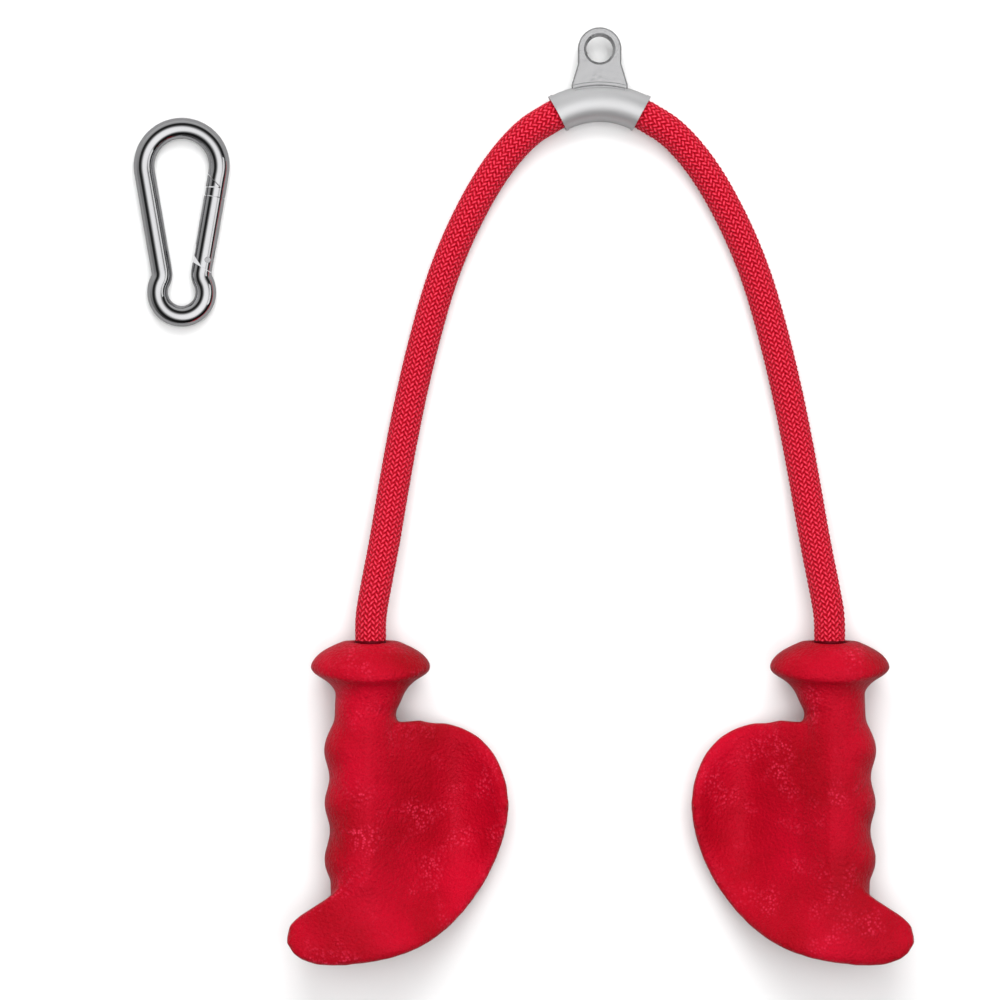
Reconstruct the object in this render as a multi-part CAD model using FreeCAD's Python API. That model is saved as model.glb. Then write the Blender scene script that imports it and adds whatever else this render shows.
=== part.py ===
"""Rope attachment for a pulley machine: two palm-rest grips on one braided rope, hung from a metal
sleeve with an eye lug, and a loose snap hook that joins the eye to the machine's cable.

Frame, in millimetres: the attachment lies flat on a table. The origin is the middle of the eye's
bore, +X goes to the right grip, +Y from the grips up to the eye and +Z up from the table.
"""

import math
import os

import FreeCAD
import Part

V = FreeCAD.Vector

# ---- driving dimensions ---------------------------------------------------------------------
ROPE_R = 7.5
SLEEVE_OUTER_R = 9.0
SLEEVE_BORE_R = 7.8
SLEEVE_BEND_R = 42.2
SLEEVE_BEND_Y = -67.9
SLEEVE_HALF_ANGLE = 28.6
LIP_R = 9.4
LIP_LENGTH = 1.6
FLOOR_Z = -LIP_R

EYE_BORE_R = 6.4
EYE_OUTER_R = 10.4
LUG_HALF_THICK = 3.6
LUG_FOOT_HALF = 13.4
FOOT_HALF_THICK = 4.4
WELD_R = 0.9
LUG_RIM_CHAMFER = 0.7

HINGE_OUT = 4.0
ROPE_GAP = 0.5

GRIP_X = -109.6
COLUMN_OUT = 2.5
GRIP_AXIS_Z = FLOOR_Z + 20.6
GRIP_TOP_Y = -283.7
FLANGE_SQUASH = 0.42
CORE_R = 16.8
PALM_THICK = 7.0

CORE_TUBE_TOP_Y = -288.0
CORE_TUBE_END_Y = -350.0
CORE_TUBE_R = 10.5
CORE_TUBE_BORE_R = 8.1
POCKET_R = 11.6
POCKET_END_Y = -414.0
WASHER_THICK = 3.0
FERRULE_LENGTH = 24.0

WIRE_R = 5.0
HOOK_X = -200.9
HOOK_Y = -82.3
HOOK_Z = FLOOR_Z + WIRE_R
BIG_BOW_Y = 26.8
BIG_BOW_R = 18.1
SMALL_BOW_Y = -33.4
SMALL_BOW_R = 11.6
LEG_SLOPE = 9.8

FIT = 0.05

# The left leg's route: hand-set points of one smooth line, from the sleeve's mouth to the grip.
LEFT_ROUTE = [
    (-23.7, -32.8, 0.0),
    (-36.0, -40.3, -0.6),
    (-51.0, -58.0, -1.5),
    (-64.4, -82.0, -1.8),
    (-75.0, -107.0, -1.9),
    (-82.6, -133.0, -1.8),
    (-89.0, -159.0, -1.7),
    (-94.4, -185.0, -1.2),
    (-99.0, -211.0, 1.2),
    (-103.2, -237.0, 5.4),
    (-107.2, -258.0, 9.6),
    (-109.6, -271.5, 11.2),
    (-109.6, -283.4, 11.2),
]

# Height of the grip's palm face over the bore's axis, on a grid of stations across and along it.
PALM_ACROSS = [-165.0, -138.0, -112.0, -97.0, -84.0, -68.0, -45.0, -15.0]
PALM_ALONG = [-300.0, -330.0, -362.0, -394.0, -424.0, -455.0]
PALM_HEIGHTS = [
    [3.0, 4.0, 7.0, 6.0, 2.0, -1.0, 5.0, 14.0],
    [4.0, 5.0, 8.0, 6.5, -1.5, -8.0, 2.0, 18.0],
    [5.0, 5.0, 8.0, 6.5, -3.5, -12.5, 4.0, 22.0],
    [6.0, 8.0, 13.0, 8.0, -1.5, -8.5, 6.5, 25.0],
    [8.0, 14.0, 18.5, 17.5, 13.5, 9.0, 14.0, 30.0],
    [10.0, 17.0, 22.0, 23.5, 25.0, 26.0, 32.0, 42.0],
]

# The palm wing's outline, round from the notch under the flange to the tip of the flare.
WING_OUTLINE = [
    (-100.0, -321.5),
    (-90.0, -322.6),
    (-74.0, -324.2),
    (-57.4, -331.6),
    (-47.2, -347.5),
    (-44.8, -363.5),
    (-49.3, -384.5),
    (-61.0, -406.3),
    (-81.7, -425.7),
    (-108.0, -434.1),
    (-128.0, -436.4),
    (-142.2, -433.2),
    (-148.6, -425.6),
    (-145.5, -417.4),
    (-134.5, -408.6),
    (-124.0, -400.0),
    (-117.0, -372.0),
    (-114.0, -340.0),
]


def export(shape, node):
    """Writes one piece as parts/NODE.step."""
    if not shape.isValid():
        print("not valid:", node)
    print(f"{node:24s} solids {len(shape.Solids)}  volume {shape.Volume:10.1f} mm3")
    shape.exportStep(os.path.join("parts", node + ".step"))


def mirrored(shape):
    """The same piece on the right-hand side."""
    return shape.mirror(V(0, 0, 0), V(1, 0, 0))


def cylinder_y(x, z, radius, y_top, y_end):
    """A round bar parallel to Y, from y_top down to y_end."""
    return Part.makeCylinder(radius, y_top - y_end, V(x, y_end, z), V(0, 1, 0))


def tube_y(x, z, outer, inner, y_top, y_end):
    """A round tube parallel to Y."""
    hole = cylinder_y(x, z, inner, y_top + 1, y_end - 1)
    return cylinder_y(x, z, outer, y_top, y_end).cut(hole)


def bend(point_radius, start_deg, sweep_deg, offset=0.0, height=0.0):
    """A torus stretch of the sleeve's bend: angles are from straight up, positive to the left."""
    centre = V(0, SLEEVE_BEND_Y, height)
    disc_centre = centre + V(0, SLEEVE_BEND_R + offset, 0)
    disc = Part.Face(Part.Wire(Part.makeCircle(point_radius, disc_centre, V(1, 0, 0))))
    disc.rotate(centre, V(0, 0, 1), start_deg)
    return disc.revolve(centre, V(0, 0, 1), sweep_deg)


def routed_wire(points):
    """Straight runs joined by tangent arcs, each as large as its two runs allow."""
    pts = [V(*p) for p in points]
    edges = []
    radii = []
    last = pts[0]
    for before, corner, after in zip(pts, pts[1:], pts[2:]):
        towards = (corner - before).normalize()
        away = (after - corner).normalize()
        half_turn = towards.getAngle(away) / 2
        setback = 0.45 * min((corner - before).Length, (after - corner).Length)
        radius = setback / math.tan(half_turn)
        start = corner - towards * setback
        end = corner + away * setback
        middle_dir = (away - towards).normalize()
        middle = corner + middle_dir * (radius / math.cos(half_turn) - radius)
        edges.append(Part.LineSegment(last, start).toShape())
        edges.append(Part.Arc(start, middle, end).toShape())
        radii.append(round(radius))
        last = end
    edges.append(Part.LineSegment(last, pts[-1]).toShape())
    return Part.Wire(edges), radii


# ---- hanger: sleeve, eye lug, weld and the rope inside ----------------------------------------
def make_sleeve():
    """The bent tube that the rope runs through, with a rolled lip at each mouth."""
    full = 2 * SLEEVE_HALF_ANGLE
    lip_sweep = math.degrees(LIP_LENGTH / SLEEVE_BEND_R)
    body = bend(SLEEVE_OUTER_R, -SLEEVE_HALF_ANGLE, full)
    body = body.fuse(bend(LIP_R, -SLEEVE_HALF_ANGLE, lip_sweep))
    body = body.fuse(bend(LIP_R, SLEEVE_HALF_ANGLE - lip_sweep, lip_sweep))
    return body.cut(bend(SLEEVE_BORE_R, -SLEEVE_HALF_ANGLE - 2, full + 4))


def lug_outline(half_foot, foot_y):
    """The eye plate's outline: round head, straight flanks, and a foot that flares out."""
    flank_top = V(EYE_OUTER_R, -1.0, 0)
    flank_end = V(EYE_OUTER_R, -7.0, 0)
    flare = V(half_foot, -17.0, 0)
    foot = V(half_foot, foot_y, 0)
    head = Part.Arc(flank_top, V(0, EYE_OUTER_R, 0), V(-flank_top.x, flank_top.y, 0))
    right = [
        Part.LineSegment(foot, flare),
        Part.LineSegment(flare, flank_end),
        Part.LineSegment(flank_end, flank_top),
    ]
    edges = [curve.toShape() for curve in right] + [head.toShape()]
    for edge in [curve.toShape() for curve in reversed(right)]:
        edges.append(edge.mirror(V(0, 0, 0), V(1, 0, 0)))
    edges.append(Part.LineSegment(V(-foot.x, foot.y, 0), foot).toShape())
    return Part.Face(Part.Wire(Part.__sortEdges__(edges)))


def make_lug(sleeve_room):
    """The eye plate with its chamfered bore, on a thicker foot that saddles the sleeve."""
    plate = lug_outline(LUG_FOOT_HALF, -30.0)
    plate.translate(V(0, 0, -LUG_HALF_THICK))
    lug = plate.extrude(V(0, 0, 2 * LUG_HALF_THICK))
    rims = [edge for edge in lug.Edges if abs(edge.Vertexes[0].Z - edge.Vertexes[-1].Z) < FIT]
    lug = lug.makeChamfer(LUG_RIM_CHAMFER, rims)
    saddle = bend(SLEEVE_OUTER_R + 1.6, -14.5, 29.0)
    slab = Part.makeBox(60, 30, 2 * FOOT_HALF_THICK, V(-30, -37, -FOOT_HALF_THICK))
    lug = lug.fuse(saddle.common(slab)).removeSplitter()
    lug = lug.cut(sleeve_room)
    under = Part.makeBox(80, 60, 40, V(-40, -92, -20))
    lug = lug.cut(under.cut(Part.makeBox(80, 2, 40, V(-40, -34, -20))))
    lug = lug.cut(Part.makeCylinder(EYE_BORE_R, 20, V(0, 0, -10)))
    for side in (1, -1):
        cone = Part.makeCone(EYE_BORE_R, EYE_BORE_R + 1.2, 1.2, V(0, 0, side * (LUG_HALF_THICK - 1.2)),
                             V(0, 0, side))
        lug = lug.cut(cone)
    return max(lug.Solids, key=lambda solid: solid.Volume)


def make_weld(sleeve_room, lug):
    """The bead along the saddle's front and back edges, where it is welded to the sleeve."""
    height = FOOT_HALF_THICK + 0.4
    offset = math.sqrt(SLEEVE_OUTER_R ** 2 - height ** 2)
    beads = [bend(WELD_R, -14.0, 28.0, offset, side * height) for side in (1, -1)]
    welds = [bead.cut(sleeve_room).cut(lug) for bead in beads]
    return Part.Compound([max(weld.Solids, key=lambda solid: solid.Volume) for weld in welds])


def make_rope_middle():
    """The rope inside the sleeve, ended short of the two hinged legs."""
    reach = math.degrees((ROPE_R + ROPE_GAP - HINGE_OUT) / SLEEVE_BEND_R)
    half = SLEEVE_HALF_ANGLE - reach
    return bend(ROPE_R, -half, 2 * half)


# ---- one leg: rope, its end in the grip, washer and crimped stop ------------------------------
def make_rope_leg():
    """The free rope from the sleeve's mouth to the grip, with a ball end at the hinge point."""
    path, radii = routed_wire(LEFT_ROUTE)
    start = V(*LEFT_ROUTE[0])
    along = (V(*LEFT_ROUTE[1]) - start).normalize()
    disc = Part.Face(Part.Wire(Part.makeCircle(ROPE_R, start, along)))
    tube = Part.Wire(path).makePipe(disc)
    expected = math.pi * ROPE_R ** 2 * path.Length
    print("rope leg bend radii", radii)
    print(f"rope leg length {path.Length:.1f} mm, tube volume / section x length {tube.Volume / expected:.4f}")
    ball = Part.makeSphere(ROPE_R, start)
    cap = ball.cut(Part.makeCylinder(20, 20, start, along))
    return tube.fuse(cap)


def make_leg_end():
    """The rope's end in the bore, the thrust washer and the crimped stop on it."""
    washer_top = CORE_TUBE_END_Y - 0.4
    ferrule_top = washer_top - WASHER_THICK - 0.1
    ferrule_end = ferrule_top - FERRULE_LENGTH
    x, z = GRIP_X, GRIP_AXIS_Z
    rope = cylinder_y(x, z, ROPE_R, LEFT_ROUTE[-1][1], ferrule_end + 2)
    washer = tube_y(x, z, POCKET_R - 0.6, ROPE_R + 0.2, washer_top, washer_top - WASHER_THICK)
    stop = tube_y(x, z, POCKET_R - 1.4, ROPE_R + FIT, ferrule_top, ferrule_end)
    groove_ring = tube_y(x, z, POCKET_R, POCKET_R - 2.0, ferrule_top - 6, ferrule_top - 9)
    second_ring = groove_ring.copy()
    second_ring.translate(V(0, -9, 0))
    stop = stop.cut(groove_ring).cut(second_ring)
    return rope, washer, stop


# ---- one grip ---------------------------------------------------------------------------------
def revolved(x, z, profile):
    """A solid of revolution about an axis parallel to Y, from (radius, y) points on one curve."""
    curve = Part.BSplineCurve()
    curve.interpolate([V(x + radius, y, z) for radius, y in profile])
    top = V(x, profile[0][1], z)
    end = V(x, profile[-1][1], z)
    edges = [
        curve.toShape(),
        Part.LineSegment(V(x + profile[-1][0], profile[-1][1], z), end).toShape(),
        Part.LineSegment(end, top).toShape(),
        Part.LineSegment(top, V(x + profile[0][0], profile[0][1], z)).toShape(),
    ]
    return Part.Face(Part.Wire(edges)).revolve(V(x, 0, z), V(0, 1, 0), 360)


def make_flange():
    """The mushroom flange over the hand: wide, and flattened front to back."""
    stations = [(10.5, -283.7), (17.4, -285.4), (23.6, -288.8), (27.5, -292.8), (28.6, -296.4),
                (26.0, -299.6), (20.6, -303.0), (16.6, -308.0), (14.9, -315.0)]
    rings = []
    for half_width, y in stations:
        half_depth = min(half_width, CORE_R - 2 + (half_width - CORE_R + 2) * FLANGE_SQUASH)
        middle = V(GRIP_X, y, GRIP_AXIS_Z)
        ellipse = Part.Ellipse(middle + V(half_width + FIT, 0, 0), middle + V(0, 0, half_depth), middle)
        rings.append(Part.Wire(ellipse.toShape()))
    return Part.makeLoft(rings, True)


def make_column():
    """The round column in the fingers, and its three finger ridges on the outer side."""
    core = revolved(GRIP_X - COLUMN_OUT, GRIP_AXIS_Z, [
        (14.2, -300.0), (14.4, -312.0), (15.0, -324.0), (16.4, -340.0),
        (CORE_R, -362.0), (CORE_R, -388.0), (16.6, -404.0), (16.4, POCKET_END_Y)])
    ridges = revolved(GRIP_X - COLUMN_OUT - 4.6, GRIP_AXIS_Z, [
        (8.0, -318.0), (12.4, -326.0), (15.2, -336.5), (12.6, -348.6), (15.0, -360.6),
        (12.4, -374.0), (15.0, -387.4), (11.0, -400.0), (8.0, -406.0)])
    return core.fuse(ridges)


def palm_surface(drop):
    """The palm face, lowered by drop, as a face much larger than the wing."""
    grid = [[V(x, y, GRIP_AXIS_Z + height - drop) for x, height in zip(PALM_ACROSS, row)]
            for y, row in zip(PALM_ALONG, PALM_HEIGHTS)]
    surface = Part.BSplineSurface()
    surface.interpolate(grid)
    return surface.toShape()


def wing_prism(scale, about_x, about_y):
    """The wing's outline through the whole height, scaled about a point."""
    points = [V(about_x + (x - about_x) * scale, about_y + (y - about_y) * scale, FLOOR_Z - 20)
              for x, y in WING_OUTLINE]
    curve = Part.BSplineCurve()
    curve.interpolate(points, PeriodicFlag=True)
    return Part.Face(Part.Wire(curve.toShape())).extrude(V(0, 0, 100))


def palm_sheet(prism, front_drop, back_drop):
    """The part of a prism between two copies of the palm face."""
    under_front = palm_surface(front_drop).extrude(V(0, 0, -90))
    under_back = palm_surface(back_drop).extrude(V(0, 0, -90))
    return prism.common(under_front).cut(under_back)


def make_grip():
    """The moulded grip and the plate inside its palm wing."""
    wing = palm_sheet(wing_prism(1.0, 0, 0), 0, PALM_THICK)
    body = make_flange().fuse([make_column(), wing]).removeSplitter()
    x, z = GRIP_X, GRIP_AXIS_Z
    body = body.cut(cylinder_y(x, z, 9.0, GRIP_TOP_Y + 5, -300))
    body = body.cut(cylinder_y(x, z, CORE_TUBE_R + FIT, CORE_TUBE_TOP_Y, CORE_TUBE_END_Y))
    body = body.cut(cylinder_y(x, z, POCKET_R, CORE_TUBE_END_Y, POCKET_END_Y - 1))
    clear_of_bore = Part.makeBox(70, 80, 100, V(-93.0, -418.0, -50))
    insert_prism = wing_prism(0.78, -72.0, -372.0).common(clear_of_bore)
    insert = palm_sheet(insert_prism, 2.5, 4.5)
    room_prism = wing_prism(0.785, -72.0, -372.0).common(clear_of_bore)
    body = body.cut(palm_sheet(room_prism, 2.4, 4.6))
    return max(body.Solids, key=lambda solid: solid.Volume), insert


def make_grip_inserts():
    """The moulded-in bore liner and the plug that closes the pocket."""
    x, z = GRIP_X, GRIP_AXIS_Z
    liner = tube_y(x, z, CORE_TUBE_R, CORE_TUBE_BORE_R, CORE_TUBE_TOP_Y, CORE_TUBE_END_Y)
    plug = cylinder_y(x, z, POCKET_R - FIT, POCKET_END_Y + 8, POCKET_END_Y)
    recess = cylinder_y(x, z, 6.0, POCKET_END_Y + 2, POCKET_END_Y - 1)
    return liner, plug.cut(recess)


# ---- snap hook --------------------------------------------------------------------------------
def hook_point(x, y):
    """A point in the hook's own plane, from its middle."""
    return V(HOOK_X + x, HOOK_Y + y, HOOK_Z)


def leg_frame():
    """The gate leg's line: a point at its top, and the directions down it and outwards."""
    slope = math.radians(LEG_SLOPE)
    top = hook_point(BIG_BOW_R * math.cos(slope), BIG_BOW_Y - BIG_BOW_R * math.sin(slope))
    down = V(-math.sin(slope), -math.cos(slope), 0)
    outward = V(math.cos(slope), -math.sin(slope), 0)
    return top, down, outward


# Places on the gate leg: distance down it from its top, and distance outwards from its middle.
NOSE_AT = 11.9
TAIL_AT = 41.0
WAIST_BEND_R = 7.0
PIVOT_AT = 42.6
PIVOT_OUT = 2.2
CUT_GAP = 0.35
TONGUE_HALF = 1.6
SLOT_HALF = 1.9
RIVET_R = 1.4
GATE_BORE_R = 2.7
SPRING_COIL_R = 2.0
SPRING_WIRE_R = 0.35
PLUNGER_LENGTH = 4.0
PLUNGER_R = 2.4
TONGUE_RISE = 3.0
TONGUE_HALF_WIDTH = 4.7
SHOULDER = [(51.0, 12.2), (46.2, -0.2)]
SHOULDER_INNER = (41.65, -11.8)
SWING_ROOM = (36.1, -9.8)
KEY_HEAD = [(1.6, -5.4), (7.2, 2.0), (7.7, -5.4)]


def on_leg(down_by, out_by=0.0, up_by=0.0):
    """A point on the gate leg: distance down it, outwards from it, and up from the table."""
    top, down, outward = leg_frame()
    return top + down * down_by + outward * out_by + V(0, 0, up_by)


def leg_bar(radius, from_by, to_by, out_by=0.0):
    """A round bar along the gate leg."""
    start = on_leg(from_by, out_by)
    end = on_leg(to_by, out_by)
    return Part.makeCylinder(radius, (end - start).Length, start, end - start)


def leg_plate(corners, half_thick):
    """A flat plate in the hook's plane, from (down, out) corners."""
    points = [on_leg(down, out, -half_thick) for down, out in corners]
    face = Part.Face(Part.makePolygon(points + [points[0]]))
    return face.extrude(V(0, 0, 2 * half_thick))


def hook_wire():
    """The hook wire's centre line: nose, big bow, left leg, small bow and up to the tongue."""
    top, down, outward = leg_frame()
    bow = hook_point(0, SMALL_BOW_Y - 0.5)
    inside = -outward.dot(bow - top)
    reach = math.sqrt((WAIST_BEND_R + SMALL_BOW_R) ** 2 - (WAIST_BEND_R + inside) ** 2)
    bend_at = down.dot(bow - top) - reach
    waist = on_leg(bend_at)
    bend_centre = on_leg(bend_at, WAIST_BEND_R)
    to_bow = (bow - bend_centre).normalize()
    meeting = bend_centre + to_bow * WAIST_BEND_R
    middle_dir = (to_bow - outward).normalize()
    middle = bend_centre + middle_dir * WAIST_BEND_R

    def left(point):
        """The point mirrored to the hook's other leg."""
        return V(2 * HOOK_X - point.x, point.y, point.z)

    curves = [
        Part.LineSegment(on_leg(NOSE_AT), top),
        Part.Arc(top, hook_point(0, BIG_BOW_Y + BIG_BOW_R), left(top)),
        Part.LineSegment(left(top), left(waist)),
        Part.Arc(left(waist), left(middle), left(meeting)),
        Part.Arc(left(meeting), bow + V(0, -SMALL_BOW_R, 0), meeting),
        Part.Arc(meeting, middle, waist),
        Part.LineSegment(waist, on_leg(TAIL_AT)),
    ]
    return Part.Wire([curve.toShape() for curve in curves])


def key_head(grow):
    """The recess that the gate key's arrow head sits in: the head, grown by a gap."""
    apex, tip, inner = KEY_HEAD
    slope = (tip[0] - apex[0]) / (tip[1] - apex[1])
    aside = grow * math.hypot(1.0, slope)
    past = 2.0
    return leg_plate([(apex[0] - past * slope - aside, apex[1] - past),
                      (tip[0] + grow * slope - aside, tip[1] + grow),
                      (tip[0] + grow, tip[1] + grow), (inner[0] + 2.6 * grow, inner[1] - past)], 12)


def make_hook_body():
    """The bent wire body: recess and slot for the key at the nose, flat tongue at the waist."""
    disc = Part.Face(Part.Wire(Part.makeCircle(WIRE_R, on_leg(NOSE_AT), leg_frame()[1])))
    body = hook_wire().makePipe(disc)
    above_shoulder = leg_plate([(down + CUT_GAP, out) for down, out in SHOULDER]
                               + [(SHOULDER_INNER[0] + CUT_GAP, SHOULDER_INNER[1]),
                                  (TAIL_AT - 9, SHOULDER_INNER[1]), (TAIL_AT - 9, 12.2)], 12)
    key_slot = leg_plate([(KEY_HEAD[1][0] - 0.5, -9), (KEY_HEAD[1][0] - 0.5, 1.5),
                          (NOSE_AT + 1, 1.5), (NOSE_AT + 1, -9)], SLOT_HALF)
    body = body.cut(above_shoulder).cut(key_head(CUT_GAP)).cut(key_slot)
    tongue = leg_plate([(PIVOT_AT - TONGUE_RISE, -TONGUE_HALF_WIDTH), (PIVOT_AT - TONGUE_RISE, 2.6),
                        (PIVOT_AT - 1.2, TONGUE_HALF_WIDTH), (TAIL_AT + 9.5, TONGUE_HALF_WIDTH),
                        (TAIL_AT + 7.0, -TONGUE_HALF_WIDTH)], TONGUE_HALF)
    body = body.fuse(tongue)
    body = body.cut(Part.makeCylinder(RIVET_R + FIT, 20, on_leg(PIVOT_AT, PIVOT_OUT, -10)))
    return max(body.Solids, key=lambda solid: solid.Volume)


def make_gate():
    """The tubular gate: arrow key at its top, and slotted for the tongue at its lower end."""
    below_shoulder = leg_plate(SHOULDER + [SWING_ROOM, (80, SWING_ROOM[1]), (80, 12.2)], 12)
    gate = leg_bar(WIRE_R, NOSE_AT + CUT_GAP, TAIL_AT + 12).cut(below_shoulder)
    slot_top = PIVOT_AT - TONGUE_RISE - 3.6
    tongue_slot = leg_plate([(slot_top, -9), (slot_top, 9), (TAIL_AT + 15, 9), (TAIL_AT + 15, -9)], SLOT_HALF)
    gate = gate.cut(tongue_slot)
    gate = gate.cut(leg_bar(GATE_BORE_R, NOSE_AT + 12, slot_top + 3.4))
    gate = gate.cut(Part.makeCylinder(RIVET_R + FIT, 20, on_leg(PIVOT_AT, PIVOT_OUT, -10)))
    head = leg_bar(WIRE_R, 0.3, NOSE_AT).common(leg_plate(KEY_HEAD, 12))
    neck = leg_plate([(KEY_HEAD[1][0] - 0.6, -3.4), (KEY_HEAD[1][0] - 0.6, 1.1),
                      (NOSE_AT + 2, 1.1), (NOSE_AT + 2, -3.4)], TONGUE_HALF)
    gate = gate.fuse([neck, head])
    return max(gate.Solids, key=lambda solid: solid.Volume)


def make_gate_rivet():
    """The rivet that the gate turns on, flush with the gate's sides."""
    half = math.sqrt(WIRE_R ** 2 - (PIVOT_OUT + RIVET_R) ** 2) + 0.3
    return Part.makeCylinder(RIVET_R, 2 * half, on_leg(PIVOT_AT, PIVOT_OUT, -half))


def make_plunger():
    """The domed plunger that the spring pushes on to the tongue."""
    tip = PIVOT_AT - TONGUE_RISE - 0.1
    dome = Part.makeSphere(PLUNGER_R, on_leg(tip - PLUNGER_R))
    return leg_bar(PLUNGER_R, tip - PLUNGER_LENGTH, tip - PLUNGER_R).fuse(dome)


def make_spring():
    """The closing spring in the gate's bore, between its blind end and the plunger."""
    start = NOSE_AT + 12 + SPRING_WIRE_R + FIT
    end = PIVOT_AT - TONGUE_RISE - 0.1 - PLUNGER_LENGTH - SPRING_WIRE_R - FIT
    length = end - start
    helix = Part.makeHelix(length / 9, length, SPRING_COIL_R)
    section = Part.Wire(Part.makeCircle(SPRING_WIRE_R, V(SPRING_COIL_R, 0, 0), V(0, 1, 0)))
    spring = Part.Wire(helix).makePipeShell([section], True, True)
    _, down, _ = leg_frame()
    turn = FreeCAD.Rotation(V(0, 0, 1), down)
    spring.Placement = FreeCAD.Placement(on_leg(start), turn)
    return spring


def main():
    """Builds every piece and writes it."""
    os.makedirs("parts", exist_ok=True)
    sleeve_room = bend(SLEEVE_OUTER_R + FIT, -SLEEVE_HALF_ANGLE, 2 * SLEEVE_HALF_ANGLE)
    lug = make_lug(sleeve_room)
    export(make_sleeve(), "hanger_sleeve")
    export(lug, "eye_lug")
    export(make_weld(sleeve_room, lug), "lug_weld")
    export(make_rope_middle(), "rope_middle")

    rope_end, washer, stop = make_leg_end()
    grip, insert = make_grip()
    liner, plug = make_grip_inserts()
    left_pieces = {
        "rope_leg": make_rope_leg(),
        "rope_end": rope_end,
        "thrust_washer": washer,
        "rope_stop": stop,
        "grip": grip,
        "wing_insert": insert,
        "bore_liner": liner,
        "base_plug": plug,
    }
    for name, shape in left_pieces.items():
        export(shape, "left_" + name)
        export(mirrored(shape), "right_" + name)

    export(make_hook_body(), "hook_body")
    export(make_gate(), "hook_gate")
    export(make_gate_rivet(), "gate_rivet")
    export(make_plunger(), "gate_plunger")
    export(make_spring(), "gate_spring")


main()
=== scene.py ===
"""Looks for a rope attachment of a pulley machine: braided rope, palm-rest grips, sleeve, eye and hook.

Everything is in metres, in the CAD model's own frame: +X to the right grip, +Y from the grips up to
the eye, +Z up from the table that the attachment lies on.
"""
import logging
import math
from dataclasses import dataclass
from enum import Enum

import bmesh
import bpy
import numpy as np
from mathutils import Matrix, Vector


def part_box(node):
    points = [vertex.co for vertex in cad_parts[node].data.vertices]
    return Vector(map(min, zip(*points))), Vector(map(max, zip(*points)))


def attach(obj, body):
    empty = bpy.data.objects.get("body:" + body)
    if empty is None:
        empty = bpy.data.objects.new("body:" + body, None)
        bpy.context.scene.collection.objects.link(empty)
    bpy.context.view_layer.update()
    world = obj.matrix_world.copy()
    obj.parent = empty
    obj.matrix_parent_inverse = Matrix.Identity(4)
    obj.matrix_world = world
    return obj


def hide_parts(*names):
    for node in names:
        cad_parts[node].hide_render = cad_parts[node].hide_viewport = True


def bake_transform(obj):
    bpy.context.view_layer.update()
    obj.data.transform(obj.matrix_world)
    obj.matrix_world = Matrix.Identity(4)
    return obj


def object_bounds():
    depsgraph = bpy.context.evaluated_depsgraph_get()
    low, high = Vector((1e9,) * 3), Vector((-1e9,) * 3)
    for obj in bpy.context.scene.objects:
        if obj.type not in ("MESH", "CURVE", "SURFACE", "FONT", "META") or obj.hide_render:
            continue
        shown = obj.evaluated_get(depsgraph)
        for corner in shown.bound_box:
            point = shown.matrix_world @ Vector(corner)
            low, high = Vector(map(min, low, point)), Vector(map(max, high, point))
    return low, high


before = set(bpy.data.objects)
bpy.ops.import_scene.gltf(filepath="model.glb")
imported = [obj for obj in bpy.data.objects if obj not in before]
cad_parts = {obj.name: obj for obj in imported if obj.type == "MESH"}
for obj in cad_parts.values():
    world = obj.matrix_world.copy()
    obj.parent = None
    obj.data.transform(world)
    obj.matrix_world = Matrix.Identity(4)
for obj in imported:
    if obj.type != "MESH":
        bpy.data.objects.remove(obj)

log = logging.getLogger("rope_attachment")
MM = 0.001
CAD_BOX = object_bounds()


# ---- small tools --------------------------------------------------------------------------------
def linear(hex_colour: str) -> tuple[float, float, float, float]:
    """Turns an sRGB colour into the linear values that a shader takes.

    Args:
        hex_colour: six hex digits.

    Returns:
        Red, green, blue and an alpha of 1.
    """
    channels = [int(hex_colour[i:i + 2], 16) / 255 for i in (0, 2, 4)]
    red, green, blue = (c / 12.92 if c <= 0.04045 else ((c + 0.055) / 1.055) ** 2.4 for c in channels)
    return red, green, blue, 1.0


def add_node(tree: bpy.types.NodeTree, kind: str, settings: dict, links: dict) -> bpy.types.Node:
    """Adds one shader node.

    Args:
        tree: the material's node tree.
        kind: the node's Blender type.
        settings: property names, and socket names as "in:NAME", with their values.
        links: input socket names with the output sockets that feed them.

    Returns:
        The new node.
    """
    node = tree.nodes.new(kind)
    for name, value in settings.items():
        if name.startswith("in:"):
            node.inputs[name[3:]].default_value = value
        else:
            setattr(node, name, value)
    for name, socket in links.items():
        tree.links.new(socket, node.inputs[name])
    return node


def ramp(node: bpy.types.Node, stops: list[tuple[float, str]]) -> None:
    """Sets a colour ramp's stops.

    Args:
        node: the ColorRamp node.
        stops: places from 0 to 1 with their hex colours.
    """
    elements = node.color_ramp.elements
    while len(elements) > 1:
        elements.remove(elements[-1])
    for index, (place, colour) in enumerate(stops):
        element = elements[0] if index == 0 else elements.new(place)
        element.position = place
        element.color = linear(colour)


def new_material(name: str) -> tuple[bpy.types.Material, bpy.types.Node]:
    """Makes a material with a bare Principled shader.

    Args:
        name: what the finish is.

    Returns:
        The material and its shader node.
    """
    material = bpy.data.materials.new(name)
    material.use_nodes = True
    return material, material.node_tree.nodes["Principled BSDF"]


def add_object(name: str, mesh: bpy.types.Mesh) -> bpy.types.Object:
    """Puts a mesh in the scene as an object at the origin.

    Args:
        name: the object's name.
        mesh: its mesh, with its place in it.

    Returns:
        The object.
    """
    piece = bpy.data.objects.new(name, mesh)
    bpy.context.scene.collection.objects.link(piece)
    return piece


def baked(piece: bpy.types.Object) -> bpy.types.Mesh:
    """Applies a piece's modifiers to a copy of its mesh.

    Args:
        piece: the piece.

    Returns:
        The new mesh.
    """
    graph = bpy.context.evaluated_depsgraph_get()
    return bpy.data.meshes.new_from_object(piece.evaluated_get(graph), depsgraph=graph)


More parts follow.
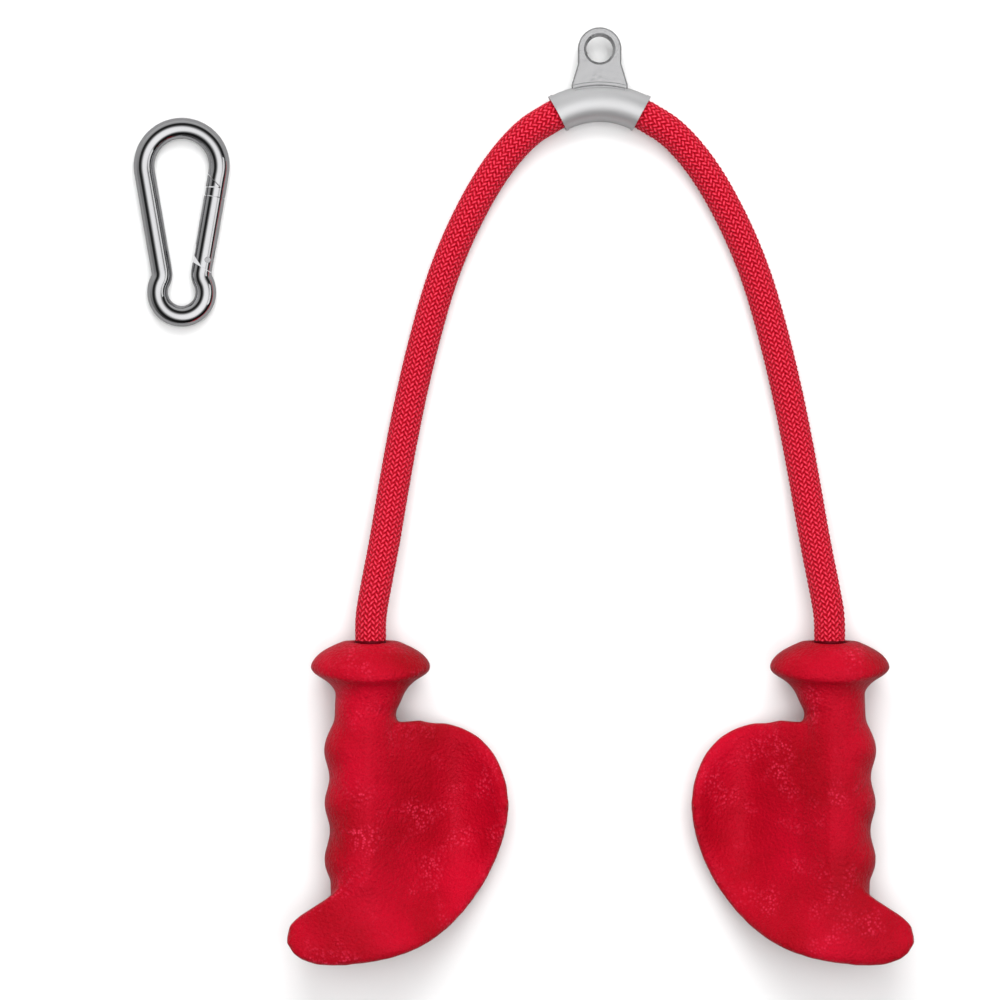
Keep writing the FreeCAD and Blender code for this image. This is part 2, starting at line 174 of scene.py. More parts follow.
def dress(node: str, material: bpy.types.Material) -> None:
    """Gives a CAD node one material.

    Args:
        node: the node's name.
        material: its finish.
    """
    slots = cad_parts[node].data.materials
    slots.clear()
    slots.append(material)


# ---- finishes -----------------------------------------------------------------------------------
@dataclass(frozen=True)
class GrainedRubber:
    """Soft rubber from a grained mould, all in the red range of one pigment.

    The grain breaks the sheen into small dull cells, so that the grip looks soft to the hand. In scattered
    spots the top of each grain cell is painted paler: a painted glint that stands in for the sheen's
    highlight. Real leather grain is about 0.8 mm wide, and it is drawn nearly twice as coarse, or it
    wouldn't show.
    """

    low: str = "930613"
    high: str = "b40722"
    # Painted glint: a paler colour painted on the grain cells' tops in scattered spots, in place of a highlight.
    painted_glint: str = "d8304c"
    roughness: float = 0.38
    specular: float = 0.4
    sheen_tint: tuple[float, float, float, float] = (1.0, 0.14, 0.24, 1.0)
    grain_mm: float = 1.5
    grain_depth_mm: float = 0.42
    pore_mm: float = 1.5 / 2.2
    patch_mm: float = 16.0
    drift_mm: float = 38.0

    def material(self) -> bpy.types.Material:
        """Builds the finish on Object coordinates.

        Returns:
            The material.
        """
        material, shader = new_material("moulded rubber, leather grain")
        tree = material.node_tree
        where = add_node(tree, "ShaderNodeTexCoord", {}, {}).outputs["Object"]
        cells = add_node(tree, "ShaderNodeTexVoronoi",
                         {"feature": "SMOOTH_F1", "in:Scale": 1 / (self.grain_mm * MM),
                          "in:Smoothness": 0.35, "in:Randomness": 1.0}, {"Vector": where})
        pores = add_node(tree, "ShaderNodeTexNoise",
                         {"in:Scale": 1 / (self.pore_mm * MM), "in:Detail": 2.0}, {"Vector": where})
        drift = add_node(tree, "ShaderNodeTexNoise",
                         {"in:Scale": 1 / (self.drift_mm * MM), "in:Detail": 3.0}, {"Vector": where})
        tint = add_node(tree, "ShaderNodeValToRGB", {}, {"Fac": drift.outputs["Fac"]})
        ramp(tint, [(0.3, self.low), (0.7, self.high)])
        # Painted glint: this noise picks the spots where the grain cells' tops are painted paler.
        patch_noise = add_node(tree, "ShaderNodeTexNoise",
                           {"in:Scale": 1 / (self.patch_mm * MM), "in:Detail": 2.0}, {"Vector": where})
        glint_patches = add_node(tree, "ShaderNodeMapRange", {"in:From Min": 0.52, "in:From Max": 0.74},
                           {"Value": patch_noise.outputs["Fac"]})
        glint_crests = add_node(tree, "ShaderNodeMapRange", {"in:From Min": 0.5, "in:From Max": 0.15},
                          {"Value": cells.outputs["Distance"]})
        glint_mask = add_node(tree, "ShaderNodeMath", {"operation": "MULTIPLY"}, {"Value": glint_patches.outputs["Result"]})
        tree.links.new(glint_crests.outputs["Result"], glint_mask.inputs[1])
        colour = add_node(tree, "ShaderNodeMix", {"data_type": "RGBA"}, {})
        tree.links.new(glint_mask.outputs["Value"], colour.inputs[0])
        tree.links.new(tint.outputs["Color"], colour.inputs[6])
        colour.inputs[7].default_value = linear(self.painted_glint)
        tree.links.new(colour.outputs[2], shader.inputs["Base Color"])
        height = add_node(tree, "ShaderNodeMath", {"operation": "MULTIPLY_ADD", "in:Value": 0.0},
                          {"Value": cells.outputs["Distance"]})
        height.inputs[1].default_value = -1.0
        tree.links.new(pores.outputs["Fac"], height.inputs[2])
        bump = add_node(tree, "ShaderNodeBump",
                        {"in:Strength": 0.9, "in:Distance": self.grain_depth_mm * MM},
                        {"Height": height.outputs["Value"]})
        tree.links.new(bump.outputs["Normal"], shader.inputs["Normal"])
        shader.inputs["Roughness"].default_value = self.roughness
        shader.inputs["Specular IOR Level"].default_value = self.specular
        shader.inputs["Specular Tint"].default_value = self.sheen_tint
        return material


@dataclass(frozen=True)
class BraidYarn:
    """Dyed polyester yarn, tightly braided.

    Its filaments lie side by side. Each float's top is painted pale as a painted highlight, and its colour
    falls off to a painted shade of deep red in the gaps. Real filaments are far too fine to show, so their
    noise is drawn 0.28 mm wide.
    """

    name: str = "braided polyester yarn"
    # Painted light: the colour in the gaps is painted shade and the colour on top is a painted highlight; the
    # flank is the yarn's own red.
    painted_gap_shade: str = "520008"
    flank: str = "a60a1c"
    crown_highlight: str = "e83e56"
    roughness: float = 0.5
    specular: float = 0.4
    sheen_tint: tuple[float, float, float, float] = (1.0, 0.25, 0.35, 1.0)
    fibre_mm: float = 0.28
    fibre_depth_mm: float = 0.06

    def material(self) -> bpy.types.Material:
        """Builds the finish from a height attribute on the yarns: painted shade low in the gaps, painted
        highlight on their tops.

        Returns:
            The material.
        """
        material, shader = new_material(self.name)
        tree = material.node_tree
        where = add_node(tree, "ShaderNodeTexCoord", {}, {}).outputs["Object"]
        crown_highlight = add_node(tree, "ShaderNodeAttribute", {"attribute_name": "crown_highlight"}, {})
        fibres = add_node(tree, "ShaderNodeTexNoise",
                          {"in:Scale": 1 / (self.fibre_mm * MM), "in:Detail": 2.0}, {"Vector": where})
        # Painted shade low in the gaps, the yarn's own red on the flanks, a painted highlight on top.
        tint = add_node(tree, "ShaderNodeValToRGB", {}, {"Fac": crown_highlight.outputs["Fac"]})
        ramp(tint, [(0.12, self.painted_gap_shade), (0.42, self.flank), (0.6, self.flank), (0.95, self.crown_highlight)])
        tree.links.new(tint.outputs["Color"], shader.inputs["Base Color"])
        bump = add_node(tree, "ShaderNodeBump",
                        {"in:Strength": 0.5, "in:Distance": self.fibre_depth_mm * MM},
                        {"Height": fibres.outputs["Fac"]})
        tree.links.new(bump.outputs["Normal"], shader.inputs["Normal"])
        shader.inputs["Roughness"].default_value = self.roughness
        shader.inputs["Specular IOR Level"].default_value = self.specular
        shader.inputs["Specular Tint"].default_value = self.sheen_tint
        return material


@dataclass(frozen=True)
class Metal:
    """A metal finish: its colour, how sharply it reflects, and the scale of its surface marks.

    The roughness drifts by spread where hands have rubbed the metal. A lacquered metal is bare only in
    part: the lacquer scatters the rest of the light.
    """

    name: str
    colour: str
    roughness: float
    mark_mm: float
    mark_depth_mm: float
    spread: float = 0.06
    bare: float = 1.0
    handled_mm: float = 9.0

    def material(self) -> bpy.types.Material:
        """Builds the finish on Object coordinates.

        Returns:
            The material.
        """
        material, shader = new_material(self.name)
        tree = material.node_tree
        where = add_node(tree, "ShaderNodeTexCoord", {}, {}).outputs["Object"]
        marks = add_node(tree, "ShaderNodeTexNoise",
                         {"in:Scale": 1 / (self.mark_mm * MM), "in:Detail": 3.0}, {"Vector": where})
        patch_noise = add_node(tree, "ShaderNodeTexNoise",
                           {"in:Scale": 1 / (self.handled_mm * MM), "in:Detail": 2.0}, {"Vector": where})
        gloss = add_node(tree, "ShaderNodeMapRange",
                         {"in:To Min": self.roughness - self.spread / 2,
                          "in:To Max": self.roughness + self.spread / 2},
                         {"Value": patch_noise.outputs["Fac"]})
        tree.links.new(gloss.outputs["Result"], shader.inputs["Roughness"])
        bump = add_node(tree, "ShaderNodeBump",
                        {"in:Strength": 0.4, "in:Distance": self.mark_depth_mm * MM},
                        {"Height": marks.outputs["Fac"]})
        tree.links.new(bump.outputs["Normal"], shader.inputs["Normal"])
        shader.inputs["Base Color"].default_value = linear(self.colour)
        shader.inputs["Metallic"].default_value = self.bare
        return material


@dataclass(frozen=True)
class MouldedPlastic:
    """A plain moulded plastic or rubber part, with the faint unevenness of its mould."""

    name: str
    colour: str
    roughness: float
    skin_mm: float = 0.6
    skin_depth_mm: float = 0.05

    def material(self) -> bpy.types.Material:
        """Builds the finish on Object coordinates.

        Returns:
            The material.
        """
        material, shader = new_material(self.name)
        tree = material.node_tree
        where = add_node(tree, "ShaderNodeTexCoord", {}, {}).outputs["Object"]
        skin = add_node(tree, "ShaderNodeTexNoise",
                        {"in:Scale": 1 / (self.skin_mm * MM), "in:Detail": 2.0}, {"Vector": where})
        bump = add_node(tree, "ShaderNodeBump",
                        {"in:Strength": 0.3, "in:Distance": self.skin_depth_mm * MM},
                        {"Height": skin.outputs["Fac"]})
        tree.links.new(bump.outputs["Normal"], shader.inputs["Normal"])
        shader.inputs["Base Color"].default_value = linear(self.colour)
        shader.inputs["Roughness"].default_value = self.roughness
        return material


# Blasted and lacquered: a broad soft gleam along the bend, and no sharp reflection.
SATIN_SLEEVE = Metal("cast aluminium, satin lacquer", "c8c8c9", 0.36, 0.35, 0.012, bare=0.6)
# Polished by hand before the lacquer: bright, but its long waves bend what it reflects.
POLISHED_LUG = Metal("cast aluminium, polished and lacquered", "b0b0b1", 0.16, 6.0, 1.1, bare=0.8)
# Mirror polish on round wire: a bright stripe between black ones, and a grey edge from the table.
POLISHED_HOOK = Metal("stainless steel, mirror polished", "d4d4d6", 0.07, 2.5, 0.006, 0.04)
# Faced on a lathe: a flat grey dot that doesn't mirror like the hook round it.
TURNED_PIN = Metal("steel pin, turned", "b9b9bb", 0.25, 0.3, 0.008)
# Drawn through a die: darker than the hook, with a dull line along each coil.
SPRING_WIRE = Metal("spring steel wire, drawn", "8b8b8e", 0.3, 0.2, 0.006)
# Cut from rolled sheet: even and half bright.
STAMPED_WASHER = Metal("stainless washer, stamped", "bdbdbf", 0.3, 0.5, 0.01)
# Squeezed in a die: pale, with soft dents.
CRIMPED_STOP = Metal("aluminium stop, crimped", "cfcfd1", 0.35, 0.6, 0.02)
# Glass fibres at its skin leave it nearly black, with a low even sheen.
NYLON_INSERT = MouldedPlastic("glass-filled nylon, moulded", "1b1b1d", 0.5)
# Carbon-filled rubber: black and dull, so that the grip's end reads as a hole with a plug in it.
RUBBER_PLUG = MouldedPlastic("rubber plug, moulded", "151516", 0.65)


# ---- the object ---------------------------------------------------------------------------------
class Side(Enum):
    """Which half of the attachment a piece is on; the value is the sign of its X."""

    LEFT = -1
    RIGHT = 1

    @property
    def word(self) -> str:
        """The side's name, as the CAD nodes have it."""
        return self.name.lower()


@dataclass
class BraidedLeg:
    """One half of the rope, from inside the sleeve to the grip, as carriers plaited two over two.

    The free rope is 273 mm long, and the rest of the length is inside the sleeve and the grip.
    """

    side: Side
    diameter: float = 15.0 * MM
    length: float = 0.312
    pitch: float = 60.0 * MM
    carriers: int = 24
    yarn_half_width: float = 0.86 * MM
    yarn_half_thick: float = 0.52 * MM
    crimp: float = 0.46 * MM
    rings_per_float: int = 5
    yarn_sides: int = 6
    flatness: float = 1.7
    flank_height: float = 0.42
    core_sides: int = 24
    core_inset: float = 0.8
    core_ring_step: int = 4
    bend_before: float = 6 * MM
    bend_after: float = 14 * MM
    # The left leg's route in millimetres: three points inside the sleeve, and then the free rope.
    route_mm: tuple[tuple[float, float, float], ...] = (
        (0.0, -25.7, 0.0),
        (-5.3, -25.7, 0.0),
        (-15.6, -28.3, 0.0),
        (-23.7, -32.8, 0.0),
        (-36.0, -40.3, -0.6),
        (-51.0, -58.0, -1.5),
        (-64.4, -82.0, -1.8),
        (-75.0, -107.0, -1.9),
        (-82.6, -133.0, -1.8),
        (-89.0, -159.0, -1.7),
        (-94.4, -185.0, -1.2),
        (-99.0, -211.0, 1.2),
        (-103.2, -237.0, 5.4),
        (-107.2, -258.0, 9.6),
        (-109.6, -271.5, 11.2),
        (-109.6, -283.4, 11.2),
        (-109.6, -297.0, 11.2),
    )

    def route(self) -> np.ndarray:
        """Reads the smooth centre line off a NURBS spline through the listed points.

        Returns:
            Points along the line, one row each.
        """
        curve = bpy.data.curves.new("rope_route", "CURVE")
        curve.dimensions = "3D"
        curve.resolution_u = 24
        spline = curve.splines.new("NURBS")
        spline.points.add(len(self.route_mm) - 1)
        for point, (x, y, z) in zip(spline.points, self.route_mm):
            point.co = (-x * self.side.value * MM, y * MM, z * MM, 1.0)
        spline.order_u = 3
        spline.use_endpoint_u = True
        carrier = bpy.data.objects.new("rope_route", curve)
        mesh = bpy.data.meshes.new_from_object(carrier)
        line = np.array([vertex.co for vertex in mesh.vertices])
        bpy.data.objects.remove(carrier)
        bpy.data.curves.remove(curve)
        bpy.data.meshes.remove(mesh)
        return line

    def stations(self, line: np.ndarray, count: int) -> tuple[np.ndarray, ...]:
        """Spaces points evenly along the line and sets up a frame at each.

        Args:
            line: the centre line.
            count: how many stations.

        Returns:
            The distance along the line, the points, and two directions across it.
        """
        along = np.concatenate([[0], np.cumsum(np.linalg.norm(np.diff(line, axis=0), axis=1))])
        at = np.linspace(0, along[-1], count)
        points = np.stack([np.interp(at, along, line[:, axis]) for axis in range(3)], axis=1)
        tangent = np.gradient(points, axis=0)
        tangent /= np.linalg.norm(tangent, axis=1)[:, None]
        aside = np.cross([0.0, 0.0, 1.0], tangent)
        aside /= np.linalg.norm(aside, axis=1)[:, None]
        return at, points, aside, np.cross(tangent, aside)

    def add_tube(self, target: bmesh.types.BMesh, places: np.ndarray, crown_highlight: np.ndarray) -> None:
        """Rolls a grid into a closed tube at given places and adds it to a mesh.

        Args:
            target: the mesh to add to.
            places: rings x sides x 3 coordinates; the last side's place repeats the first.
            crown_highlight: rings x sides heights from 0 to 1, which the yarn's colour ramp paints from painted
                shade to painted highlight.
        """
        rings, sides = places.shape[:2]
        tube = bmesh.new()
        bmesh.ops.create_grid(tube, x_segments=sides - 1, y_segments=rings - 1, size=0.5)
        tube.verts.ensure_lookup_table()
        layer = tube.verts.layers.float.new("crown_highlight")
        for vertex, place, height in zip(tube.verts, places.reshape(-1, 3), crown_highlight.reshape(-1)):
            vertex.co = place
            vertex[layer] = height
        bmesh.ops.remove_doubles(tube, verts=tube.verts, dist=1e-7)
        rims = [edge for edge in tube.edges if edge.is_boundary]
        bmesh.ops.holes_fill(tube, edges=rims, sides=0)
        bmesh.ops.recalc_face_normals(tube, faces=tube.faces)
        mesh = bpy.data.meshes.new("yarn")
        tube.to_mesh(mesh)
        tube.free()
        target.from_mesh(mesh)
        bpy.data.meshes.remove(mesh)

    def build(self, finish: bpy.types.Material) -> bpy.types.Object:
        """Plaits the carriers round a core along the route.

        Args:
            finish: the yarn's material.

        Returns:
            The rope.
        """
        line = self.route()
        run = float(np.linalg.norm(np.diff(line, axis=0), axis=1).sum())
        float_length = 2 * self.pitch / self.carriers
        rings = int(round(run / float_length * self.rings_per_float)) + 1
        at, points, aside, up = self.stations(line, rings)
        along = np.cross(aside, up)
        mean_radius = self.diameter / 2 - self.yarn_half_thick - self.crimp
        lay = math.atan(2 * math.pi * mean_radius / self.pitch)
        step = 2 * math.pi / self.carriers
        turn_rate = 2 * math.pi / self.pitch
        around = np.linspace(0, 2 * math.pi, self.yarn_sides + 1) + math.pi / self.yarn_sides
        braid = bmesh.new()
        braid.verts.layers.float.new("crown_highlight")
        for way, first_float in ((1, 0.5), (-1, 2.5)):
            for carrier in range(self.carriers):
                angle = carrier * step + way * turn_rate * at
                crossing = 2 * carrier + way * 2 * turn_rate * at / step
                wave = np.cos(math.pi / 2 * (crossing - first_float))
                wave = np.tanh(self.flatness * wave) / math.tanh(self.flatness)
                radial = np.cos(angle)[:, None] * aside + np.sin(angle)[:, None] * up
                hoop = -np.sin(angle)[:, None] * aside + np.cos(angle)[:, None] * up
                across = math.cos(lay) * hoop - way * math.sin(lay) * along
                radius = mean_radius + self.crimp * wave
                places = (points + radius[:, None] * radial)[:, None, :] \
                    + (self.yarn_half_width * np.cos(around))[None, :, None] * across[:, None, :] \
                    + (self.yarn_half_thick * np.sin(around))[None, :, None] * radial[:, None, :]
                # Painted light: this height is highest on each yarn's outer top and lowest where it dives under,
                # so the colour ramp paints a highlight on top and shade in the gaps.
                ridge = self.flank_height + (1 - self.flank_height) * np.clip(np.sin(around), 0, 1) ** 3
                self.add_tube(braid, places, (0.5 + 0.5 * wave)[:, None] * ridge[None, :])
        ring = np.linspace(0, 2 * math.pi, self.core_sides + 1)
        core_radius = mean_radius - self.crimp * self.core_inset
        hops = slice(None, None, self.core_ring_step)
        core = (points[hops, None, :]
                + core_radius * (np.cos(ring)[None, :, None] * aside[hops, None, :]
                                 + np.sin(ring)[None, :, None] * up[hops, None, :]))
        self.add_tube(braid, core, np.zeros(core.shape[:2]))
        mesh = bpy.data.meshes.new(f"{self.side.word}_rope")
        braid.to_mesh(mesh)
        braid.free()
        mesh.shade_smooth()
        mesh.materials.append(finish)
        rope = add_object(f"{self.side.word}_rope", mesh)
        self.declare(rope)
        return rope

    def declare(self, rope: bpy.types.Object) -> None:
        """Hangs the rope on the hanger's body empty and takes it off again, bakes its place into its mesh, and
        hides the CAD nodes that it replaces.

        Args:
            rope: the finished rope.
        """
        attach(rope, "hanger")
        rope.parent = None
        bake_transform(rope)
        nodes = [f"{self.side.word}_rope_leg"] + (["rope_middle"] if self.side is Side.LEFT else [])
        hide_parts(*nodes)


@dataclass
class PalmGrip:
    """One moulded grip: mushroom flange, ridged finger column and dished palm wing in one skin."""

    side: Side
    voxel: float = 1.15 * MM
    # How far inwards of the grip's axis the palm dish, the neck's flare and the wing's rim start.
    dish_from: float = 2 * MM
    dish_to: float = 40 * MM
    heel_from: float = -12 * MM
    flare_from: float = 6 * MM
    # How far up each of them reaches.
    dish_end_y: float = -408 * MM
    heel_top_y: float = -400 * MM
    heel_end_y: float = -418 * MM
    flare_top_y: float = -302 * MM
    flare_end_y: float = -317 * MM
    # The fillet leaves out the grip's underside.
    underside: float = 13.5 * MM
    undercut: float = -0.3
    fillet_margins: tuple[float, ...] = (4 * MM, 7 * MM, 11 * MM, 16 * MM)
    fillet_passes: int = 60
    neck_passes: int = 30
    rim_passes: int = 26
    rim_growth: float = 1.7 * MM
    rim_from: float = 24 * MM
    rim_end_y: float = -420 * MM
    growth_from: float = 14 * MM
    growth_end_y: float = -412 * MM
    growth_ramp: float = 12 * MM
    wing_above_y: float = -317.5 * MM
    skin_passes: int = 4
    wing_top_y: float = -321.5 * MM
    flange_depth: float = 20.6 * MM
    flange_droop: float = 4.5 * MM
    rim_y: float = -297.0 * MM
    neck_y: float = -309.0 * MM

    def outer_shell(self) -> bpy.types.Mesh:
        """Copies the CAD grip's outside skin, without the cavity for its stiffener.

        Returns:
            One closed mesh.
        """
        shell = bmesh.new()
        shell.from_mesh(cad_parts[f"{self.side.word}_grip"].data)
        bmesh.ops.remove_doubles(shell, verts=shell.verts, dist=2e-6)
        unseen = set(shell.verts)
        islands = []
        while unseen:
            island = set()
            front = [unseen.pop()]
            while front:
                vertex = front.pop()
                island.add(vertex)
                for edge in vertex.link_edges:
                    other = edge.other_vert(vertex)
                    if other in unseen:
                        unseen.discard(other)
                        front.append(other)
            islands.append(island)
        islands.sort(key=len)
        inner = [vertex for island in islands[:-1] for vertex in island]
        bmesh.ops.delete(shell, geom=inner, context="VERTS")
        mesh = bpy.data.meshes.new(f"{self.side.word}_grip_skin")
        shell.to_mesh(mesh)
        shell.free()
        return mesh

    def soften(self, mesh: bpy.types.Mesh) -> None:
        """Runs a wide fillet between column and palm dish, droops the flange and rounds every edge.

        Args:
            mesh: the evenly meshed grip.
        """
        skin = bmesh.new()
        skin.from_mesh(mesh)
        liner_low, liner_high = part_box(f"{self.side.word}_bore_liner")
        axis_x = abs(liner_low[0] + liner_high[0]) / 2
        axis_z = (liner_low[2] + liner_high[2]) / 2
        smooth_all = {"factor": 0.5, "use_axis_x": True, "use_axis_y": True, "use_axis_z": True}
        for margin in self.fillet_margins:
            valley = []
            for vertex in skin.verts:
                inward = axis_x - abs(vertex.co.x)
                beside = (self.dish_from < inward < self.dish_to - margin
                          and self.dish_end_y < vertex.co.y < self.wing_top_y - margin)
                below = (self.heel_from < inward < self.dish_to - margin
                         and self.heel_end_y < vertex.co.y < self.heel_top_y)
                in_front = vertex.normal.z > self.undercut and vertex.co.z > axis_z - self.underside
                if (beside or below) and in_front:
                    valley.append(vertex)
            for _ in range(self.fillet_passes):
                bmesh.ops.smooth_vert(skin, verts=valley, **smooth_all)
        for vertex in skin.verts:
            over = max(0.0, vertex.co.z - axis_z) / self.flange_depth
            fall = min(1.0, max(0.0, (vertex.co.y - self.neck_y) / (self.rim_y - self.neck_y)))
            vertex.co.y -= self.flange_droop * over ** 2 * fall
        neck = [vertex for vertex in skin.verts
                if axis_x - abs(vertex.co.x) > self.flare_from
                and self.flare_end_y < vertex.co.y < self.flare_top_y]
        for _ in range(self.neck_passes):
            bmesh.ops.smooth_vert(skin, verts=neck, **smooth_all)
        rim = [vertex for vertex in skin.verts
               if (axis_x - abs(vertex.co.x) > self.rim_from and vertex.co.y < self.wing_above_y)
               or vertex.co.y < self.rim_end_y]
        # The smoothing pulls the rim in, so it first grows outwards by as much.
        skin.normal_update()
        growth = {}
        for vertex in skin.verts:
            if vertex.co.y < self.wing_above_y:
                inward = axis_x - abs(vertex.co.x)
                beside = (inward - self.growth_from) / self.growth_ramp
                below = (self.growth_end_y - vertex.co.y) / self.growth_ramp
                share = min(1.0, max(0.0, beside, below))
                growth[vertex] = Vector((vertex.normal.x, vertex.normal.y, 0)) * self.rim_growth * share
        for vertex, step in growth.items():
            vertex.co += step
        for _ in range(self.rim_passes):
            bmesh.ops.smooth_vert(skin, verts=rim, **smooth_all)
        for _ in range(self.skin_passes):
            bmesh.ops.smooth_vert(skin, verts=skin.verts, **smooth_all)
        skin.to_mesh(mesh)
        skin.free()

    def build(self, finish: bpy.types.Material) -> bpy.types.Object:
        """Makes the grip's skin.

        Args:
            finish: the rubber.

        Returns:
            The grip.
        """
        grip = add_object(f"{self.side.word}_grip_moulding", self.outer_shell())
        remesh = grip.modifiers.new("even", "REMESH")
        remesh.mode = "VOXEL"
        remesh.voxel_size = self.voxel
        mesh = baked(grip)
        grip.modifiers.clear()
        grip.data = mesh
        self.soften(mesh)
        mesh.shade_smooth()
        mesh.materials.clear()
        mesh.materials.append(finish)
        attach(grip, f"{self.side.word}_handle")
        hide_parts(f"{self.side.word}_grip")
        return grip


class Hardware:
    """The CAD pieces that keep their own shape and take a finish."""

    def dress(self, yarn: bpy.types.Material) -> None:
        """Gives each kept CAD node its material.

        Args:
            yarn: the rope's material.
        """
        sleeve = SATIN_SLEEVE.material()
        lug = POLISHED_LUG.material()
        hook = POLISHED_HOOK.material()
        pin = TURNED_PIN.material()
        dress("hanger_sleeve", sleeve)
        dress("eye_lug", lug)
        dress("lug_weld", lug)
        dress("hook_body", hook)
        dress("hook_gate", hook)
        dress("gate_rivet", pin)
        dress("gate_plunger", pin)
        dress("gate_spring", SPRING_WIRE.material())
        washer = STAMPED_WASHER.material()
        stop = CRIMPED_STOP.material()
        nylon = NYLON_INSERT.material()
        plug = RUBBER_PLUG.material()
        for side in Side:
            dress(f"{side.word}_thrust_washer", washer)
            dress(f"{side.word}_rope_stop", stop)
            dress(f"{side.word}_bore_liner", nylon)
            dress(f"{side.word}_wing_insert", nylon)
            dress(f"{side.word}_base_plug", plug)
            dress(f"{side.word}_rope_end", yarn)
        log.info("hardware dressed")


@dataclass(frozen=True)
class Softbox:
    """One rectangular softbox; a fill doesn't show in gloss, so that it leaves polished metal its dark bands."""

    name: str
    place: tuple[float, float, float]
    size: tuple[float, float]
    power: float
    in_gloss: bool

    def hang(self, target: Vector) -> None:
        """Hangs the light so that it faces a point.

        Args:
            target: the point.
        """
        data = bpy.data.lights.new(self.name, "AREA")
        data.shape = "RECTANGLE"
        data.size, data.size_y = self.size
        data.energy = self.power
        light = bpy.data.objects.new(self.name, data)
        light.location = self.place
        light.rotation_euler = (target - light.location).to_track_quat("-Z", "Y").to_euler()
        light.visible_camera = False
        light.visible_glossy = self.in_gloss
        bpy.context.scene.collection.objects.link(light)


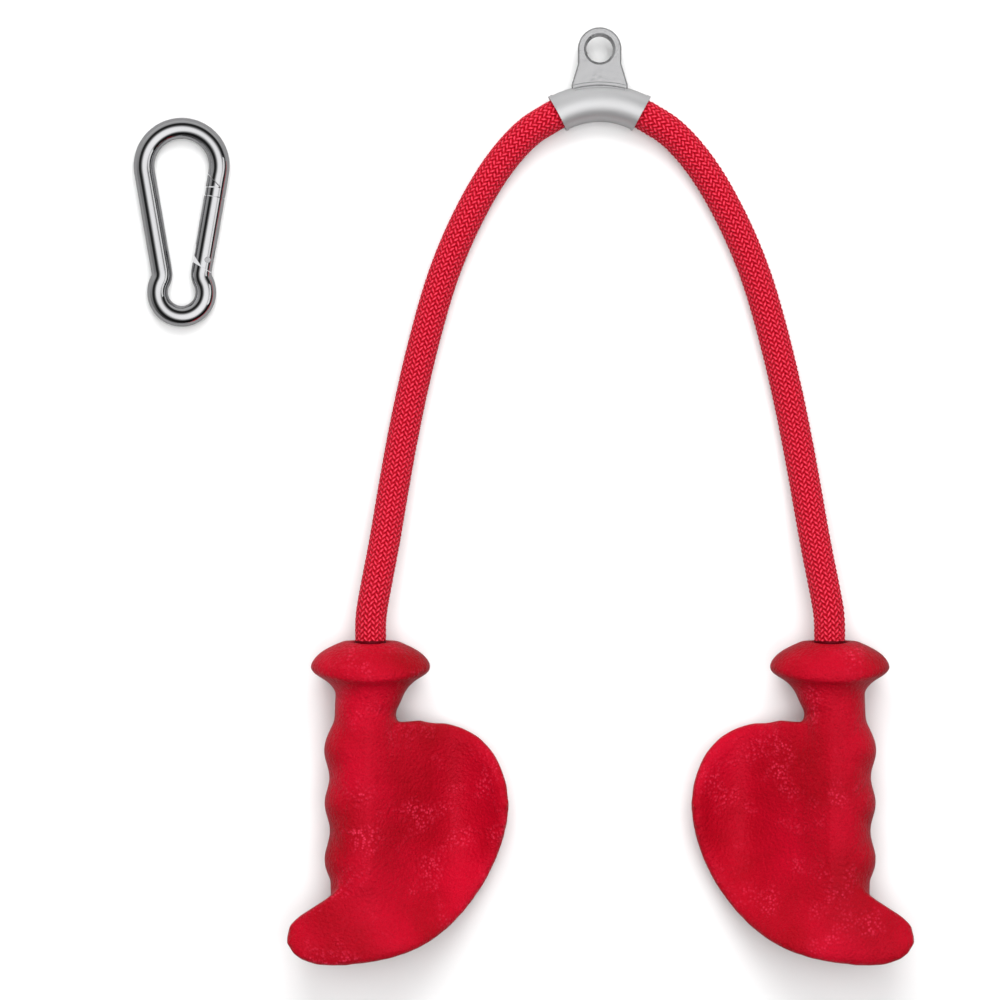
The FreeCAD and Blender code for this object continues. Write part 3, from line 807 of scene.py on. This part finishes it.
@dataclass
class Studio:
    """Table, soft lights and the camera that looks straight down on the attachment."""

    frame_width: float = 0.480
    middle: tuple[float, float] = (-0.0478, -0.2162)
    camera_height: float = 2.2
    table_size: float = 7.0
    table_colour: str = "eaeaea"
    # Metal sees the table darker than the eye does, which gives it a grey lower edge.
    table_in_gloss: str = "8a8a8a"
    backdrop: str = "f0f0f0"
    patch_towards: tuple[float, float, float] = (0.20, -0.20, 0.96)
    # From the horizon to the bright patch overhead, by the cosine of the angle from the patch.
    walls: tuple[tuple[float, str], ...] = (
        (0.0, "9a9a9a"), (0.28, "8c8c8c"), (0.40, "202020"), (0.70, "262626"),
        (0.82, "909090"), (0.91, "f2f2f2"), (1.0, "ffffff"),
    )
    patch_gain: float = 1.25
    softboxes: tuple[Softbox, ...] = (
        Softbox("overhead fill", (0.0, -0.2, 1.9), (1.5, 1.5), 22.0, False),
        Softbox("key above the eye", (0.0, 1.0, 1.4), (1.3, 0.9), 27.0, False),
        Softbox("strip, left", (-1.05, -0.2, 0.83), (1.0, 0.45), 2.2, False),
        Softbox("strip, right", (1.05, -0.2, 0.83), (1.0, 0.45), 1.3, True),
    )

    def add_camera(self) -> None:
        """Sets the camera over the table."""
        data = bpy.data.cameras.new("camera")
        data.lens = data.sensor_width * self.camera_height / self.frame_width
        camera = bpy.data.objects.new("camera", data)
        camera.location = (*self.middle, self.camera_height)
        data.clip_end = 20.0
        bpy.context.scene.collection.objects.link(camera)
        bpy.context.scene.camera = camera

    def add_table(self) -> None:
        """Lays the pale table under the object."""
        low = CAD_BOX[0]
        bm = bmesh.new()
        bmesh.ops.create_grid(bm, x_segments=1, y_segments=1, size=self.table_size / 2,
                              matrix=Matrix.Translation((0, self.middle[1], low[2])))
        mesh = bpy.data.meshes.new("table")
        bm.to_mesh(mesh)
        bm.free()
        material, shader = new_material("pale table, matt")
        tree = material.node_tree
        seen = add_node(tree, "ShaderNodeLightPath", {}, {})
        colour = add_node(tree, "ShaderNodeMix", {"data_type": "RGBA"}, {})
        tree.links.new(seen.outputs["Is Glossy Ray"], colour.inputs[0])
        colour.inputs[6].default_value = linear(self.table_colour)
        colour.inputs[7].default_value = linear(self.table_in_gloss)
        tree.links.new(colour.outputs[2], shader.inputs["Base Color"])
        shader.inputs["Roughness"].default_value = 0.9
        shader.inputs["Specular IOR Level"].default_value = 0.1
        mesh.materials.append(material)
        add_object("table", mesh)

    def add_surround(self) -> None:
        """Makes the room: a bright patch overhead, dark walls, and a pale band low on the far side."""
        world = bpy.data.worlds.new("room")
        world.use_nodes = True
        tree = world.node_tree
        where = add_node(tree, "ShaderNodeTexCoord", {}, {}).outputs["Generated"]
        patch = add_node(tree, "ShaderNodeVectorMath", {"operation": "DOT_PRODUCT"}, {"Vector": where})
        patch.inputs[1].default_value = Vector(self.patch_towards).normalized()
        walls = add_node(tree, "ShaderNodeValToRGB", {}, {"Fac": patch.outputs["Value"]})
        ramp(walls, list(self.walls))
        split = add_node(tree, "ShaderNodeSeparateXYZ", {}, {"Vector": where})
        far = add_node(tree, "ShaderNodeMapRange", {"in:From Min": -0.7, "in:From Max": 0.7,
                                                    "in:To Min": 0.3, "in:To Max": 1.6},
                       {"Value": split.outputs["Y"]})
        low = add_node(tree, "ShaderNodeMapRange", {"in:From Min": 0.35, "in:From Max": 0.75},
                       {"Value": split.outputs["Z"]})
        gain = add_node(tree, "ShaderNodeMix", {"data_type": "FLOAT"}, {})
        tree.links.new(low.outputs["Result"], gain.inputs[0])
        tree.links.new(far.outputs["Result"], gain.inputs[2])
        gain.inputs[3].default_value = self.patch_gain
        room = add_node(tree, "ShaderNodeVectorMath", {"operation": "SCALE"},
                        {"Vector": walls.outputs["Color"], "Scale": gain.outputs[0]})
        seen = add_node(tree, "ShaderNodeLightPath", {}, {})
        pick = add_node(tree, "ShaderNodeMix", {"data_type": "RGBA"}, {})
        tree.links.new(seen.outputs["Is Camera Ray"], pick.inputs[0])
        tree.links.new(room.outputs["Vector"], pick.inputs[6])
        pick.inputs[7].default_value = linear(self.backdrop)
        tree.links.new(pick.outputs[2], tree.nodes["Background"].inputs["Color"])
        tree.nodes["Background"].inputs["Strength"].default_value = 1.0
        bpy.context.scene.world = world

    def build(self) -> None:
        """Sets up everything that isn't the object."""
        bpy.context.scene.view_settings.view_transform = "Standard"
        self.add_camera()
        self.add_table()
        self.add_surround()
        for softbox in self.softboxes:
            softbox.hang(Vector((0.0, self.middle[1], 0.0)))


def main() -> None:
    """Builds the studio and every piece in order."""
    logging.basicConfig(level=logging.INFO, format="%(name)s: %(message)s")
    Studio().build()
    yarn = BraidYarn().material()
    rubber = GrainedRubber().material()
    for side in Side:
        rope = BraidedLeg(side).build(yarn)
        log.info("%s has %d points", rope.name, len(rope.data.vertices))
    for side in Side:
        grip = PalmGrip(side).build(rubber)
        log.info("%s has %d points", grip.name, len(grip.data.vertices))
    Hardware().dress(yarn)


if __name__ == "__main__":
    main()
